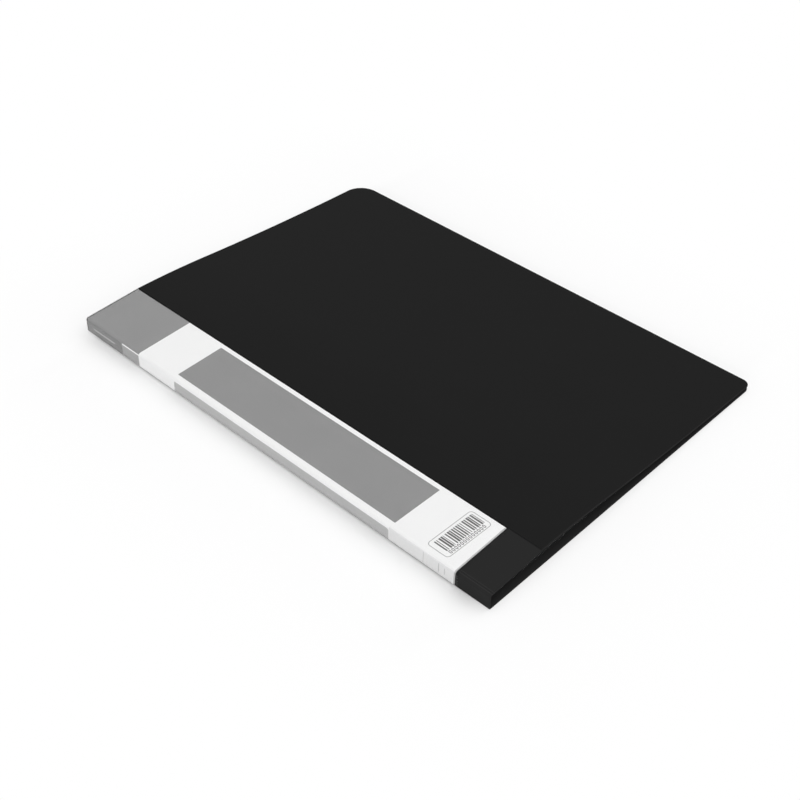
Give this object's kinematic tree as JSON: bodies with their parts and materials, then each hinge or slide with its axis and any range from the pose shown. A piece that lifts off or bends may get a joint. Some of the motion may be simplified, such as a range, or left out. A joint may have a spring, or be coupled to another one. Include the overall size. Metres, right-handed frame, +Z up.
{
  "type": "clear pocket display book",
  "caption": "Flat A4 book with a folded black plastic cover, clear top-opening page pockets bound to its spine, and a paper label in a clear sleeve round the spine.",
  "frame": {"origin": "on the table under the middle of the closed book", "axes": "+X from the spine to the fore-edge, +Y along the spine to the open end of the pockets, +Z up"},
  "size_m": [0.2314, 0.31, 0.0124],
  "materials": {
    "cover": "satin",
    "sleeve_film": "gloss",
    "label_card": "matte",
    "binding": "satin",
    "pocket_film": "gloss",
    "pocket_weld": "satin"
  },
  "bodies": {
    "back": {"back_cover": "cover", "back_crease": "cover"},
    "spine": {"spine": "cover", "spine_bend": "cover", "binding_strip": "binding", "sleeve_spine": "sleeve_film", "sleeve_bend": "sleeve_film"},
    "strip": {"hinge_strip": "cover", "front_crease": "cover", "sleeve_front": "sleeve_film"},
    "front": {"front_cover": "cover"},
    "card_spine": {"label_spine": "label_card", "label_bend": "label_card"},
    "card_front": {"label_front": "label_card"},
    "pocket_01": {"pocket_01_front_film": "pocket_film", "pocket_01_back_film": "pocket_film", "pocket_01_weld": "pocket_weld"},
    "pocket_02": {"pocket_02_front_film": "pocket_film", "pocket_02_back_film": "pocket_film", "pocket_02_weld": "pocket_weld"},
    "pocket_03": {"pocket_03_front_film": "pocket_film", "pocket_03_back_film": "pocket_film", "pocket_03_weld": "pocket_weld"},
    "pocket_04": {"pocket_04_front_film": "pocket_film", "pocket_04_back_film": "pocket_film", "pocket_04_weld": "pocket_weld"},
    "pocket_05": {"pocket_05_front_film": "pocket_film", "pocket_05_back_film": "pocket_film", "pocket_05_weld": "pocket_weld"},
    "pocket_06": {"pocket_06_front_film": "pocket_film", "pocket_06_back_film": "pocket_film", "pocket_06_weld": "pocket_weld"},
    "pocket_07": {"pocket_07_front_film": "pocket_film", "pocket_07_back_film": "pocket_film", "pocket_07_weld": "pocket_weld"},
    "pocket_08": {"pocket_08_front_film": "pocket_film", "pocket_08_back_film": "pocket_film", "pocket_08_weld": "pocket_weld"},
    "pocket_09": {"pocket_09_front_film": "pocket_film", "pocket_09_back_film": "pocket_film", "pocket_09_weld": "pocket_weld"},
    "pocket_10": {"pocket_10_front_film": "pocket_film", "pocket_10_back_film": "pocket_film", "pocket_10_weld": "pocket_weld"}
  },
  "joints": [
    {"name": "spine_fold", "type": "hinge", "parent": "back", "child": "spine", "pos_m": [-0.1149, 0, 0.0008], "axis": [0, -1, 0], "range_deg": [0, 90], "deforming": ["back_crease"]},
    {"name": "strip_fold", "type": "hinge", "parent": "spine", "child": "strip", "pos_m": [-0.11449, 0, 0.00916], "axis": [0, -1, 0], "range_deg": [0, 60], "deforming": ["spine_bend", "sleeve_bend"]},
    {"name": "cover_fold", "type": "hinge", "parent": "strip", "child": "front", "pos_m": [-0.07681, 0, 0.01155], "axis": [0, -1, 0], "range_deg": [0, 37.7], "deforming": ["front_crease"]},
    {"name": "label_slide", "type": "slide", "parent": "spine", "child": "card_spine", "axis": [0, 1, 0], "range_m": [0, 0.28]},
    {"name": "label_fold", "type": "hinge", "parent": "card_spine", "child": "card_front", "pos_m": [-0.11449, 0, 0.00916], "axis": [0, -1, 0], "range_deg": [0, 60], "deforming": ["label_bend"]},
    {"name": "pocket_01_turn", "type": "hinge", "parent": "spine", "child": "pocket_01", "pos_m": [-0.11184, 0, 0.00794], "axis": [0, -1, 0], "range_deg": [-8.18, 0]},
    {"name": "pocket_02_turn", "type": "hinge", "parent": "spine", "child": "pocket_02", "pos_m": [-0.11196, 0, 0.0072], "axis": [0, -1, 0], "range_deg": [-16.36, 0]},
    {"name": "pocket_03_turn", "type": "hinge", "parent": "spine", "child": "pocket_03", "pos_m": [-0.11208, 0, 0.00646], "axis": [0, -1, 0], "range_deg": [-24.55, 0]},
    {"name": "pocket_04_turn", "type": "hinge", "parent": "spine", "child": "pocket_04", "pos_m": [-0.1122, 0, 0.00572], "axis": [0, -1, 0], "range_deg": [-32.73, 0]},
    {"name": "pocket_05_turn", "type": "hinge", "parent": "spine", "child": "pocket_05", "pos_m": [-0.11232, 0, 0.00499], "axis": [0, -1, 0], "range_deg": [-40.91, 0]},
    {"name": "pocket_06_turn", "type": "hinge", "parent": "spine", "child": "pocket_06", "pos_m": [-0.11244, 0, 0.00425], "axis": [0, -1, 0], "range_deg": [-49.09, 0]},
    {"name": "pocket_07_turn", "type": "hinge", "parent": "spine", "child": "pocket_07", "pos_m": [-0.11256, 0, 0.00351], "axis": [0, -1, 0], "range_deg": [-57.27, 0]},
    {"name": "pocket_08_turn", "type": "hinge", "parent": "spine", "child": "pocket_08", "pos_m": [-0.11268, 0, 0.00277], "axis": [0, -1, 0], "range_deg": [-65.46, 0]},
    {"name": "pocket_09_turn", "type": "hinge", "parent": "spine", "child": "pocket_09", "pos_m": [-0.1128, 0, 0.00204], "axis": [0, -1, 0], "range_deg": [-73.64, 0]},
    {"name": "pocket_10_turn", "type": "hinge", "parent": "spine", "child": "pocket_10", "pos_m": [-0.11292, 0, 0.0013], "axis": [0, -1, 0], "range_deg": [-81.82, 0]}
  ],
  "couplings": [
    {"joint": "label_fold", "follows": "strip_fold", "ratio": 1},
    {"joint": "pocket_01_turn", "follows": "spine_fold", "ratio": -0.090909},
    {"joint": "pocket_02_turn", "follows": "spine_fold", "ratio": -0.18182},
    {"joint": "pocket_03_turn", "follows": "spine_fold", "ratio": -0.27273},
    {"joint": "pocket_04_turn", "follows": "spine_fold", "ratio": -0.36364},
    {"joint": "pocket_05_turn", "follows": "spine_fold", "ratio": -0.45454},
    {"joint": "pocket_06_turn", "follows": "spine_fold", "ratio": -0.54546},
    {"joint": "pocket_07_turn", "follows": "spine_fold", "ratio": -0.63636},
    {"joint": "pocket_08_turn", "follows": "spine_fold", "ratio": -0.72727},
    {"joint": "pocket_09_turn", "follows": "spine_fold", "ratio": -0.81818},
    {"joint": "pocket_10_turn", "follows": "spine_fold", "ratio": -0.90909}
  ]
}
